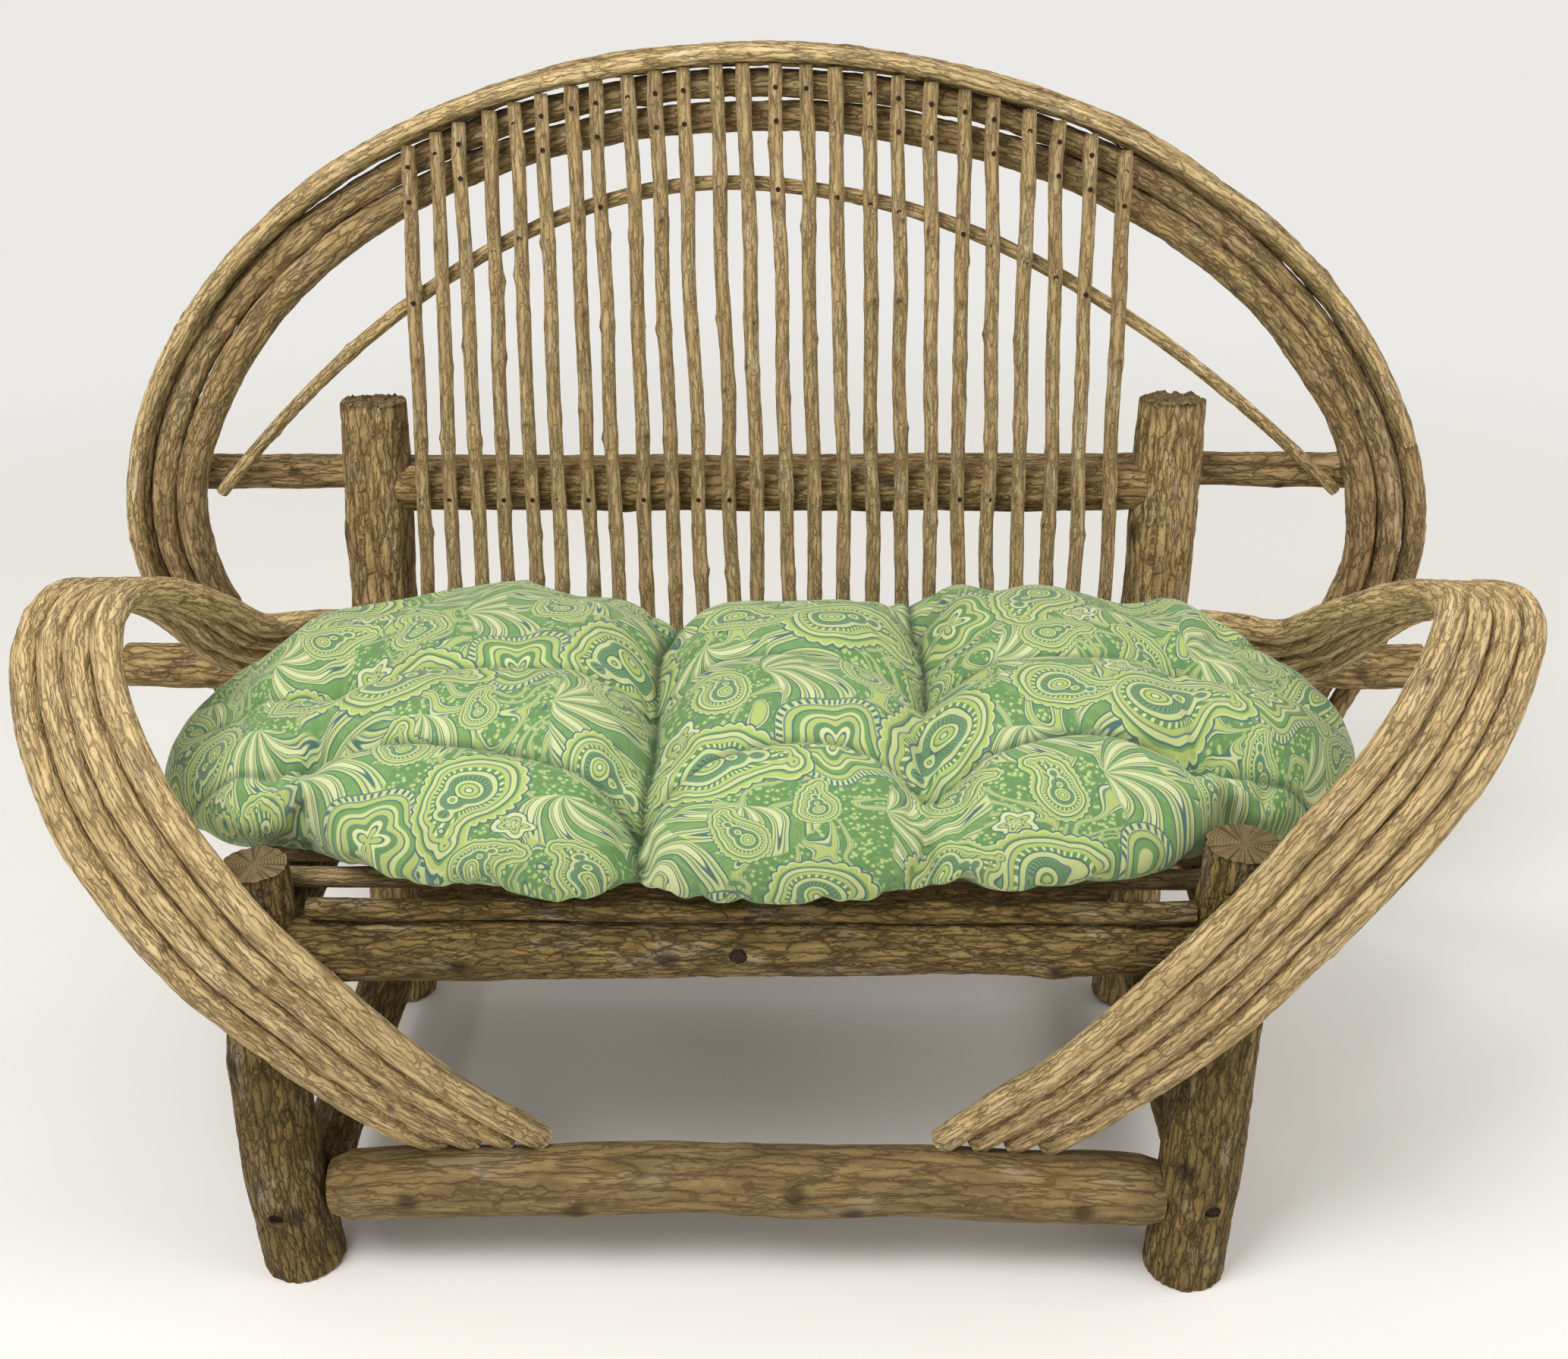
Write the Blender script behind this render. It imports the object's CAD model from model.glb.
import math

import bmesh
import bpy
import numpy as np
from mathutils import Matrix, Vector, noise


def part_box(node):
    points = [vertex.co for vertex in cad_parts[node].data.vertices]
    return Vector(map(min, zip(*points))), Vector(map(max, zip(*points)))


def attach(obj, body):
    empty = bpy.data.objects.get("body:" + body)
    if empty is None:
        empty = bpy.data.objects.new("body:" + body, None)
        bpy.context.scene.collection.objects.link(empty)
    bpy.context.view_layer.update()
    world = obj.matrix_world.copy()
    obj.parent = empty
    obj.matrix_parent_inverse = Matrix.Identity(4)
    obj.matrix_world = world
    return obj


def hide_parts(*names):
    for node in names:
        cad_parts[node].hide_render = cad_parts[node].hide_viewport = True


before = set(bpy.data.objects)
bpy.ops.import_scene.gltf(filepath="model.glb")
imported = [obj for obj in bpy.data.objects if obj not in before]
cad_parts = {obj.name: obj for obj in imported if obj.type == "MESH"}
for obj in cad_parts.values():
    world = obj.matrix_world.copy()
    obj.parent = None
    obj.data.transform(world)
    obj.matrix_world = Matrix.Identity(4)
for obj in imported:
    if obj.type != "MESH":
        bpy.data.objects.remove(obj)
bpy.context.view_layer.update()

# Two front legs and two back posts: round logs with their bark on, the legs sawn off level and the posts
# roughly. The posts lean back. The frame is racked a little to the right, and the left leg is bowed. Lag
# bolts in counterbores hold the logs together. Sizes are in mm, but those of the bolts are in metres.
MM = 0.001
LEG_X, LEFT_LEG_OUT, LEFT_LEG_TOP, RIGHT_LEG_TOP = 430, 10, 461, 486
RACK, RACK_MID = math.tan(math.radians(1.4)), 415
LEAN_ANGLE = math.radians(7.4)
LEAN = math.tan(LEAN_ANGLE)
leg_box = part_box("front_leg_right")
LEG_Y = (leg_box[0].y + leg_box[1].y) / 2 / MM
LEG_DEPTH, POST_D, POST_H = 444, 72, 709
HEAD_REACH, HEAD_ACROSS, HEAD_HIGH, NEAR_HEAD = 0.014, 0.0095, 0.0045, 0.06
BORE_D, BORE_CUT, BORE_SIDES = 0.016, 0.03, 28
SWAY_LENGTH, LUMP_LENGTH, STRAIGHT_END, FURROW_WIDTH, ROUNDED_RIM = 140, 95, 40, 0.17, 0.5
CHIP_SIZE, CHIPPED_RIM = 7, 0.3
SAWN_RINGS, CHIPPED_RINGS = (0.78, 0.5, 0.24, 0), (0.94, 0.86, 0.78, 0.68, 0.58, 0.48, 0.36, 0.24, 0.12, 0)


def side_x(side, z):
    return side * LEG_X + (z - RACK_MID) * RACK


def post_y(z):
    return LEG_Y + LEG_DEPTH + z * LEAN


def uneven(points, size, seed=0):
    """Smooth values about 0, which change over a length in mm, or over three lengths"""
    scaled = np.asarray(points, float) / size + 37.3 * seed
    return np.array([noise.noise(p) for p in scaled.tolist()])


def stick(line, radius, relief, seed, knots=(), around=24, step=5.0, wander=1.0, cap_chips=0.3):
    """One stick with its bark on: rings along a line, furrowed along the grain, swollen at its knots and sawn
    at both ends, roughly where chips are over 1. A knot is [share of length, angle from front, height]."""
    line = np.array(line, float)
    run = np.concatenate([[0], np.cumsum(np.linalg.norm(np.diff(line, axis=0), axis=1))])
    s = np.linspace(0, run[-1], max(4, int(run[-1] / step)) + 1)
    centre = np.stack([np.interp(s, run, line[:, k]) for k in range(3)], 1)
    ahead = np.gradient(centre, axis=0)
    ahead /= np.linalg.norm(ahead, axis=1)[:, None]
    up = np.zeros_like(ahead)
    last = np.array([0, -1, 0.01])
    for i, t in enumerate(ahead):
        last = last - (last @ t) * t
        last /= np.linalg.norm(last)
        up[i] = last
    side = np.cross(ahead, up)
    sway = [uneven(np.stack([s * 0 + 5 * k, s * 0, s], 1), SWAY_LENGTH, seed) * wander for k in (0, 1)]
    fade = np.minimum(1, np.minimum(s, run[-1] - s) / STRAIGHT_END)
    centre += (up * sway[0][:, None] + side * sway[1][:, None]) * fade[:, None]

    angle = 2 * math.pi * np.arange(around) / around
    radius = np.atleast_1d(radius)
    size = np.interp(s / run[-1], np.linspace(0, 1, len(radius)), radius)
    thick = size.mean()
    grain = np.stack([size[:, None] * np.cos(angle), size[:, None] * np.sin(angle),
        np.broadcast_to(s[:, None], (len(s), around))], 2).reshape(-1, 3)
    lumps = uneven(grain, (thick * 2.2, thick * 2.2, LUMP_LENGTH), seed)
    wide = relief["crack"]
    furrow = np.exp(-(uneven(grain, (wide, wide, wide * relief["run"]), seed + 1) / FURROW_WIDTH) ** 2)
    chips = uneven(grain, (wide * 0.5, wide * 0.5, wide * 1.6), seed + 2)
    out = size.repeat(around) * (1 + relief["lump"] * lumps) - relief["deep"] * furrow
    out = out + relief["chip"] * chips
    knot_mark = np.zeros(len(grain))
    for at, turn, high in knots:
        turn, along = math.radians(turn), grain[:, 2] - at * run[-1]
        away = grain[:, 0] - thick * math.cos(turn), grain[:, 1] - thick * math.sin(turn), along * 0.8
        near = np.linalg.norm(np.stack(away, 1), axis=1) / (thick * 0.42 + 1.2)
        out += high * np.exp(-near ** 2) + 0.35 * high * np.exp(-(along / (thick + 4)) ** 2)
        knot_mark = np.maximum(knot_mark, np.exp(-(near / 0.62) ** 4))
    out = out.reshape(len(s), around)
    out[[0, -1]] -= ROUNDED_RIM
    points = (centre[:, None] + out[:, :, None] * (up[:, None] * np.cos(angle)[None, :, None]
        + side[:, None] * np.sin(angle)[None, :, None])).reshape(-1, 3)
    if cap_chips > 1:
        chipped = CHIPPED_RIM * cap_chips * uneven(grain[-around:], CHIP_SIZE, seed + 3)
        points[-around:] += ahead[-1] * chipped[:, None]
    corner = np.arange(len(points)).reshape(-1, around)
    beyond = np.roll(corner, -1, axis=1)
    quads = np.stack([corner[:-1], beyond[:-1], beyond[1:], corner[1:]], 2).reshape(-1, 4)
    marks = np.stack([furrow, knot_mark, np.full(len(grain), (seed * 0.377) % 1)], 1)

    # The sawn ends, as rings of corners drawn in to the middle
    saws = []
    for end, sign in ((0, -1), (-1, 1)):
        rim = corner[end]
        edge, edge_grain = points[rim], grain[rim]
        for share in CHIPPED_RINGS if cap_chips > 1 else SAWN_RINGS:
            flat = edge_grain * [share, share, 1]
            ring = centre[end] + share * (edge - centre[end])
            ring = ring + ahead[end] * (sign * cap_chips * uneven(flat, CHIP_SIZE, seed + 3))[:, None]
            inner = len(points) + np.arange(around)
            points = np.concatenate([points, ring])
            grain = np.concatenate([grain, flat])
            marks = np.concatenate([marks, np.tile([0, 0, marks[0, 2]], (around, 1))])
            rim_next, inner_next = np.roll(rim, -1), np.roll(inner, -1)
            ways = (rim, inner, inner_next, rim_next) if sign > 0 else (rim, rim_next, inner_next, inner)
            saws.append(np.stack(ways, 1))
            rim = inner
    return points, quads, np.concatenate(saws), grain, marks


def placed(name, data):
    """A new object, in the scene"""
    made = bpy.data.objects.new(name, data)
    bpy.context.scene.collection.objects.link(made)
    return made


def piece(name, sticks, finishes, nodes=None):
    """One object from sticks: the bark takes the first finish and the sawn ends the second"""
    sides, ends, start = [], [], 0
    for points, quads, saws, _, _ in sticks:
        sides.append(quads + start)
        ends.append(saws + start)
        start += len(points)
    corners, grain, marks = [np.concatenate([made[k] for made in sticks]) for k in (0, 3, 4)]
    above_floor = np.maximum(corners, [-np.inf, -np.inf, 0])
    mesh = bpy.data.meshes.new(name)
    mesh.from_pydata((above_floor * MM).tolist(), [], np.concatenate(sides + ends).tolist())
    for label, values in (("grain", grain), ("marks", marks)):
        field = mesh.attributes.new(label, "FLOAT_VECTOR", "POINT")
        field.data.foreach_set("vector", values.astype(np.float32).ravel())
    is_end = np.arange(len(mesh.polygons)) >= sum(map(len, sides))
    mesh.polygons.foreach_set("use_smooth", ~is_end)
    mesh.polygons.foreach_set("material_index", is_end.astype(np.int32))
    for finish in finishes:
        mesh.materials.append(finish)
    # The middles of the sawn ends are rings of one place, so they are joined
    made = placed(name, mesh)
    join = made.modifiers.new("join", "WELD")
    join.merge_threshold = 0.00001
    settle(made)
    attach(made, "frame")
    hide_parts(*(nodes or [name]))
    return made


def vectors_of(rows, label, kind=np.float64):
    """The vectors that the rows of a mesh hold"""
    values = np.zeros(len(rows) * 3, kind)
    rows.foreach_get(label, values)
    return values.reshape(-1, 3)


def corners_of(made):
    return vectors_of(made.data.vertices, "co")


def bolt_heads():
    """The middle of each bolt head and the axis that its bolt lies along"""
    left, heads = corners_of(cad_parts["frame_bolts"]), []
    while len(left):
        near = np.linalg.norm(left - left[0], axis=1) < HEAD_REACH
        spread = left[near].max(0) - left[near].min(0)
        if np.sum(spread > HEAD_ACROSS) == 2:
            heads.append(((left[near].max(0) + left[near].min(0)) / 2, int(spread.argmin())))
        left = left[~near]
    return heads


def bored(made):
    """Cuts a counterbore round each bolt head that is sunk in the log, down to the foot of the head"""
    was = corners_of(made)
    holes = bmesh.new()
    for head, along in bolt_heads():
        far = np.linalg.norm(was - head, axis=1)
        if far.min() > HEAD_REACH:
            continue
        out = math.copysign(1, head[along] - was[far < NEAR_HEAD].mean(0)[along])
        turn = Vector((0, 0, 1)).rotation_difference(Vector([out if k == along else 0 for k in range(3)]))
        middle = Vector(head)
        middle[along] += out * (BORE_CUT - HEAD_HIGH) / 2
        bmesh.ops.create_cone(holes, cap_ends=True, segments=BORE_SIDES, radius1=BORE_D / 2,
            radius2=BORE_D / 2, depth=BORE_CUT, matrix=Matrix.Translation(middle) @ turn.to_matrix().to_4x4())
    if not holes.verts:
        return
    cutter = placed("bore", bpy.data.meshes.new("bore"))
    holes.to_mesh(cutter.data)
    holes.free()
    cutter.data.materials.append(made.data.materials[1])
    fields = {label: vectors_of(made.data.attributes[label].data, "vector", np.float32)
        for label in ("grain", "marks")}
    cut = made.modifiers.new("counterbores", "BOOLEAN")
    cut.operation, cut.solver, cut.material_mode, cut.object = "DIFFERENCE", "EXACT", "TRANSFER", cutter
    settle(made)
    bpy.data.objects.remove(cutter)
    # The cut leaves every corner without its place on the bark: an old corner gets its own back, and a new
    # one gets the nearest old corner's
    old = {tuple(key): k for k, key in enumerate(np.round(was, 6).tolist())}
    now, nearest = corners_of(made), []
    for place, key in zip(now, np.round(now, 6).tolist()):
        k = old.get(tuple(key))
        nearest.append(np.linalg.norm(was - place, axis=1).argmin() if k is None else k)
    for label, values in fields.items():
        made.data.attributes[label].data.foreach_set("vector", values[nearest].ravel())


def settle(made):
    """Applies all the modifiers of a piece"""
    bpy.context.view_layer.objects.active = made
    for modifier in list(made.modifiers):
        bpy.ops.object.modifier_apply(modifier=modifier.name)


class Finish:
    """A value that changes over a surface: it wraps a shader socket, and sums on it add Math nodes"""

    def __init__(self, tree, socket=None):
        self.tree = tree
        self.socket = socket

    def node(self, kind, settings, values, out=0):
        made = self.tree.nodes.new("ShaderNode" + kind)
        for name, value in settings.items():
            if name == "stops":
                ramp = made.color_ramp
                ramp.elements[0].position, ramp.elements[-1].position = value[0][0], value[-1][0]
                for at, _ in value[1:-1]:
                    ramp.elements.new(at)
                for stop, (_, colour) in zip(ramp.elements, value):
                    stop.color = colour
            elif name == "hard":
                made.color_ramp.interpolation = "CONSTANT"
            else:
                setattr(made, name, value)
        for name, value in values.items():
            if isinstance(value, Finish):
                self.tree.links.new(value.socket, made.inputs[name])
            else:
                made.inputs[name].default_value = value
        return Finish(self.tree, made.outputs[out])

    def math(self, operation, *terms):
        return self.node("Math", {"operation": operation}, dict(enumerate(terms)))

    def vector(self, operation, *terms, out=0):
        return self.node("VectorMath", {"operation": operation}, dict(enumerate(terms)), out)

    def __add__(self, other):
        return self.math("ADD", self, other)

    def __sub__(self, other):
        return self.math("SUBTRACT", self, other)

    def __rsub__(self, other):
        return self.math("SUBTRACT", other, self)

    def __mul__(self, other):
        return self.math("MULTIPLY", self, other)

    __radd__ = __add__
    __rmul__ = __mul__

    def axis(self, k):
        """One of the three numbers of a vector"""
        return self.node("SeparateXYZ", {}, {0: self}, out=k)

    def depth(self):
        """How far the value is from 0, either way"""
        return self.math("ABSOLUTE", self)

    def wave(self):
        return self.math("SINE", self)

    def length(self):
        return self.vector("LENGTH", self, out="Value")

    def between(self, low, high):
        """0 at low, 1 at high, eased"""
        return self.node("MapRange", {"interpolation_type": "SMOOTHSTEP"}, {0: self, 1: low, 2: high})

    def over(self, below, above):
        """The colour below, with the colour above laid on it where this value is 1"""
        return self.node("Mix", {"data_type": "RGBA"}, {0: self, 6: below, 7: above}, out=2)

    def cells(self, size):
        """How far a place in mm is from the edge of the cell that it lies in, over three lengths"""
        place = self.vector("DIVIDE", self, size)
        return self.node("TexVoronoi", {"feature": "DISTANCE_TO_EDGE"}, {"Vector": place, "Scale": 1.0})

    def noise(self, scale, detail, out=0, **more):
        return self.node("TexNoise", {}, {"Vector": self, "Scale": scale, "Detail": detail, **more}, out)

    def cloud(self, size, detail=3, rough=0.55, shift=0.0):
        """Noise about 0.5 on a place in mm, over a length in mm or over three"""
        place = self.vector("DIVIDE", self, np.broadcast_to(size, 3).tolist())
        return self.node("TexNoise", {"noise_dimensions": "4D"},
            {"Vector": place, "W": shift, "Scale": 1.0, "Detail": detail, "Roughness": rough})

    def bump(self, strength, distance):
        """A bump of this height, its distance in metres"""
        return self.node("Bump", {}, {"Strength": strength, "Distance": distance, "Height": self})

    def feed(self, shader, name):
        self.tree.links.new(self.socket, shader.inputs[name])


def paint(*shown):
    """A colour as it is seen, red, green and blue from 0 to 255, as the shader's own values"""
    return tuple(c / 255 / 12.92 if c < 10 else ((c / 255 + 0.055) / 1.055) ** 2.4 for c in shown) + (1,)


def dimmed(colour, share):
    return tuple(c * share for c in colour[:3]) + (1,)


def finish_of(name, roughness):
    """A new material, a first value in it, and its shader"""
    material = bpy.data.materials.new(name)
    material.use_nodes = True
    tree = material.node_tree
    shader = tree.nodes["Principled BSDF"]
    shader.inputs["Roughness"].default_value = roughness
    shader.inputs["Specular IOR Level"].default_value = 0.25
    return material, Finish(tree), shader


def mesh_field(start, label):
    """A field of the mesh, such as the place on the stick or its marks"""
    return start.node("Attribute", {"attribute_name": label}, {}, out="Vector")


def bark(name, dark, middle, light, crack, run, deep, patch, gloom=0.55):
    """Bark: fibres along the grain, a net of long cracks, paler worn patches, dark knots. A crack's size is
    in mm, and it runs so many times longer along the grain. Patch and gloom say how strongly they show."""
    material, start, shader = finish_of(name, 0.88)
    grain, marks = mesh_field(start, "grain"), mesh_field(start, "marks")
    furrow, knot, stick_number = [marks.axis(k) for k in range(3)]
    shift = stick_number * 43.0
    fibre = grain.cloud((2.4, 2.4, 20), 4, 0.65, shift)
    plates = grain.cloud((crack, crack, crack * run), 3, 0.62, shift + 3.1)
    worn = grain.cloud((24, 24, 60), 2, 0.6, shift + 7.7)
    crumbs = grain.cloud((1.7, 1.7, 3.0), 3, 0.7, shift)
    bent = grain.noise(0.09, 1.0, out=1)
    cell = (crack * 1.3, crack * 1.3, crack * run * 1.3)
    edge = start.vector("MULTIPLY_ADD", bent, (6, 6, 16), grain).cells(cell)
    raised = edge.between(0.0, 0.3)
    long_split = (1 - (plates - 0.5).depth().between(0.0, 0.03)) * worn.between(0.36, 0.5)
    split = start.math("MAXIMUM", (1 - edge.between(0.0, 0.07)) * fibre.between(0.3, 0.62), long_split)
    tone = (fibre * 0.42 + plates * 0.16 + crumbs * 0.36 + raised * 0.12 + stick_number * 0.07) - 0.06
    stops = [(0.18, dark), (0.44, middle), (0.74, light)]
    colour = start.node("ValToRGB", {"stops": stops}, {0: tone})
    pale = tuple(0.75 * c + 0.25 for c in light[:3]) + (1,)
    colour = (worn.between(0.52, 0.74) * patch).over(colour, pale)
    colour = (worn.between(0.44, 0.28) * 0.35).over(colour, dark)
    shadow = dimmed(dark, 0.28)
    colour = (split * gloom).over(colour, shadow)
    colour = (furrow * gloom * 0.7).over(colour, shadow)
    colour = (knot * 0.8).over(colour, shadow)
    height = plates * 0.4 + raised * 0.5 + fibre * 0.5 + crumbs * 0.6 - split * 0.9
    colour.feed(shader, "Base Color")
    (fibre * 0.2 + 0.74).feed(shader, "Roughness")
    height.bump(0.9, deep * MM).feed(shader, "Normal")
    return material


def sawn(name, light, dark):
    """A sawn end: growth rings round the middle, checks that run out from it, and the saw's marks"""
    material, start, shader = finish_of(name, 0.9)
    shift = mesh_field(start, "marks").axis(2) * 31.0
    flat = start.vector("MULTIPLY", mesh_field(start, "grain"), (1, 1, 0))
    reach = flat.length()
    rough = flat.cloud(9, 3, 0.6, shift)
    rings = (reach * 2.1 + rough * 6.0).wave()
    turn = flat.vector("NORMALIZE", flat)
    check = 1 - (turn.cloud(0.22, 2, 0.5, shift) - 0.5).depth().between(0, 0.03)
    colour = (rings * 0.25 + rough * 0.8 - 0.1).over(dark, light)
    colour = (check * reach.between(1, 12) * 0.7).over(colour, dimmed(dark, 0.2))
    colour.feed(shader, "Base Color")
    (rough + rings * 0.12 - check * 0.8).bump(0.7, 1.2 * MM).feed(shader, "Normal")
    return material


log_relief = dict(crack=9, run=7, deep=1.6, chip=0.8, lump=0.045)
log_bark = bark("log_bark", paint(66, 52, 26), paint(112, 90, 48), paint(162, 138, 84),
    crack=6, run=6, deep=2.6, patch=0.4, gloom=0.62)
post_bark = bark("post_bark", paint(103, 82, 48), paint(167, 138, 89), paint(216, 190, 138),
    crack=7, run=6, deep=2.6, patch=0.4)
log_end = sawn("log_end", paint(160, 138, 98), paint(92, 76, 50))
log_finish, post_finish = (log_bark, log_end), (post_bark, log_end)


def leg_line(side, out, bow, high):
    """The leg's middle line from the floor to its top, bowed outward by so much half way up"""
    return [(side_x(side, z) + side * out + side * bow * math.sin(math.pi * min(1, z / 400)), LEG_Y, z)
        for z in np.linspace(0, high, 40)]


for name, line, thick, seed, knots in (
        ("front_leg_left", leg_line(-1, LEFT_LEG_OUT, 12, LEFT_LEG_TOP), [40, 39, 37, 35, 33, 30.5], 1,
            [(0.18, 20, 2.5), (0.55, 320, 2), (0.82, 40, 2)]),
        ("front_leg_right", leg_line(1, 0, 3, RIGHT_LEG_TOP), [40, 39, 38, 37, 35.5, 34], 2,
            [(0.3, 330, 2), (0.7, 10, 3)])):
    leg = stick(line, thick, log_relief, seed, knots, 64, 4.5)
    bored(piece(name, [leg], log_finish))
post_knots = [(0.62, 30, 2), (0.8, 300, 2.5), (0.9, 80, 2)]
for side, name, seed in ((-1, "back_post_left", 3), (1, "back_post_right", 4)):
    post_line = [(side_x(side, z), post_y(z), z) for z in (0, POST_H)]
    post = stick(post_line, POST_D / 2, log_relief, seed, post_knots, 64, 4.5, wander=2, cap_chips=7)
    bored(piece(name, [post], post_finish))

# Seat rails and stretchers: logs between the legs and the posts, hollowed to their rounds and held by lag
# bolts. The front rail tapers to the right. The front stretcher is thick, peeled smooth and bowed upward.
RAIL_TOP = 407


def log_between(name, ends, radius, seed, knots, finish=log_finish, relief=log_relief, around=48):
    log = stick(ends, radius, relief, seed, knots, around, wander=2)
    bored(piece(name, [log], finish))


def axis_of(name, along):
    """The middle line and the radius of a level log, from its node's box in mm"""
    low, high = (np.array(corner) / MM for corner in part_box(name))
    middle = (low + high) / 2
    ends = [middle.copy(), middle.copy()]
    ends[0][along], ends[1][along] = low[along], high[along]
    return ends, (high[2] - low[2]) / 2


front_rail_ends = [(-LEG_X + 5, LEG_Y, RAIL_TOP - 33), (LEG_X - 15, LEG_Y, RAIL_TOP - 27)]
log_between("front_seat_rail", front_rail_ends, [33, 31, 29.5, 28, 27], 5,
    [(0.2, 0, 3), (0.42, 350, 1.5), (0.83, 20, 4.5)])
rail_knots = [(0.3, 40, 2.5), (0.66, 330, 2.5)]
for name, along, seed in (("rear_seat_rail", 0, 6), ("rear_stretcher", 0, 7), ("back_rail", 0, 8),
        ("side_seat_rail_left", 1, 9), ("side_seat_rail_right", 1, 10), ("middle_seat_rail", 1, 11),
        ("side_stretcher_left", 1, 12), ("side_stretcher_right", 1, 13)):
    ends, half = axis_of(name, along)
    log_between(name, ends, half, seed, rail_knots, post_finish if name == "back_rail" else log_finish)

peeled_relief = dict(crack=16, run=9, deep=0.5, chip=0.35, lump=0.04)
peeled = bark("peeled_log", paint(92, 73, 44), paint(134, 111, 70), paint(170, 146, 100),
    crack=10, run=8, deep=1.8, patch=0.3, gloom=0.42)
STRETCHER_Z, STRETCHER_BOW, STRETCHER_D = 89, 14, 68


def stretcher_z(x):
    return STRETCHER_Z + STRETCHER_BOW * (1 - (x / LEG_X) ** 2)


stretcher_line = [(x, LEG_Y, stretcher_z(x)) for x in np.linspace(-412, 392, 60)]
log_between("front_stretcher", stretcher_line, [27] + [34] * 18 + [35.5] + [34] * 18 + [29], 14,
    [(0.1, 350, 2.5), (0.3, 15, 3), (0.56, 340, 3.5), (0.63, 20, 2), (0.9, 0, 2.5)],
    (peeled, log_end), peeled_relief, 64)

# Back rails: a crossbar high behind the posts and a longer, thicker rail low behind them. Both reach out on
# each side to carry the hoops, and are bolted to the posts from behind.
bar_knots = [(0.07, 20, 3), (0.13, 340, 3), (0.9, 30, 3), (0.95, 350, 2.5)]
for name, seed in (("crossbar", 15), ("lower_back_rail", 16)):
    ends, half = axis_of(name, 0)
    log_between(name, ends, half, seed, bar_knots, post_finish)

# Bolts and nails: rusty lag bolts sunk in counterbores, and round nail heads that hold the slats.
rust, rust_start, rust_shader = finish_of("rusty_steel", 0.7)
rust_place = rust_start.node("TexCoord", {}, {}, out="Object")
rust_cloud = rust_place.noise(900.0, 4.0)
rust_cloud.between(0.35, 0.7).over(paint(34, 27, 20), paint(66, 46, 30)).feed(rust_shader, "Base Color")
rust_shader.inputs["Metallic"].default_value = 0.3
for name in ("frame_bolts", "slat_nails"):
    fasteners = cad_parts[name]
    fasteners.data.materials.clear()
    fasteners.data.materials.append(rust)

# Seat sticks: one along the front edge on top of the front rail, and ten under the cushion on the rails.
stick_relief = dict(crack=5, run=8, deep=0.5, chip=0.35, lump=0.05)
stick_bark = bark("peeling_bark", paint(116, 92, 58), paint(172, 146, 101), paint(208, 184, 138),
    crack=5, run=9, deep=1.4, patch=0.3, gloom=0.4)
stick_end = sawn("stick_end", paint(190, 164, 120), paint(110, 88, 58))
stick_finish = (stick_bark, stick_end)
SEAT_STICK_D, SEAT_STICKS, STICK_PLAY = 21, 10, 0.5
edge_ends, edge_half = axis_of("seat_edge_stick", 0)
edge_knots = [(0.12, 0, 1), (0.5, 10, 1.2), (0.8, 350, 1)]
edge_stick = stick(edge_ends, edge_half, stick_relief, 17, edge_knots, wander=1.5)
piece("seat_edge_stick", [edge_stick], log_finish)
seat_low, seat_high = (np.array(corner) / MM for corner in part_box("seat_sticks_under_cushion"))
seat_rows = np.linspace(seat_low[1] + SEAT_STICK_D / 2, seat_high[1] - SEAT_STICK_D / 2, SEAT_STICKS)
seat_z = seat_low[2] + SEAT_STICK_D / 2
seat_sticks = [stick([(seat_low[0], y, seat_z), (seat_high[0], y, seat_z)], SEAT_STICK_D / 2 - STICK_PLAY,
    stick_relief, 18 + i, [(0.5, 90, 1)], around=16, step=10) for i, y in enumerate(seat_rows)]
piece("seat_sticks_under_cushion", seat_sticks, stick_finish)

# Hoops: green sticks bent while fresh into ovals that lean to the left, from the back of one post over the
# top to the other's, each nailed inside the next. A thin pale one lies in front, and an arch inside them.
HOOP_REACH, HOOP_SHIFT, HOOP_WAIST, HOOP_FALL, CROWN_Z = 715, 9, 504, 480, 1062
HOOP_LEAN = math.tan(math.radians(1.5))
CROSSBAR_Z, CROSSBAR_D, LOWER_RAIL_Z, LOWER_RAIL_D = 612, 38, 380, 52
OUTER_D, MIDDLE_D, INNER_D, FRONT_HOOP_D, ARCH_D = 20, 24, 28, 16, 15
HOOP_SPACE, HOOP_GAP, HOOP_LOW_Z = 6, 0.5, 120
SLAT_D, BACK_RAIL_D = 15, 54
UPRIGHT = math.cos(LEAN_ANGLE)


def slat_y(z):
    return post_y(z) - (BACK_RAIL_D + SLAT_D) / 2 / UPRIGHT


def behind_post(d):
    return (POST_D + d) / 2 / UPRIGHT


def eased(z, stops):
    """Depth at a height, through [height, depth] stops from the top down"""
    for (z0, y0), (z1, y1) in zip(stops, stops[1:]):
        if z > z1 or (z1, y1) == stops[-1]:
            share = min(1, max(0, (z0 - z) / (z0 - z1)))
            return y0 + (y1 - y0) * (1 - math.cos(math.pi * share)) / 2


def hoop_mid(z):
    return HOOP_SHIFT - (z - HOOP_WAIST) * HOOP_LEAN


crossbar_y = post_y(CROSSBAR_Z) + behind_post(CROSSBAR_D)
lower_rail_y = post_y(LOWER_RAIL_Z) + behind_post(LOWER_RAIL_D)
hoop_in = [0, (OUTER_D + MIDDLE_D) / 2 + HOOP_SPACE, (OUTER_D + INNER_D) / 2 + MIDDLE_D + 2 * HOOP_SPACE]


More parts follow.
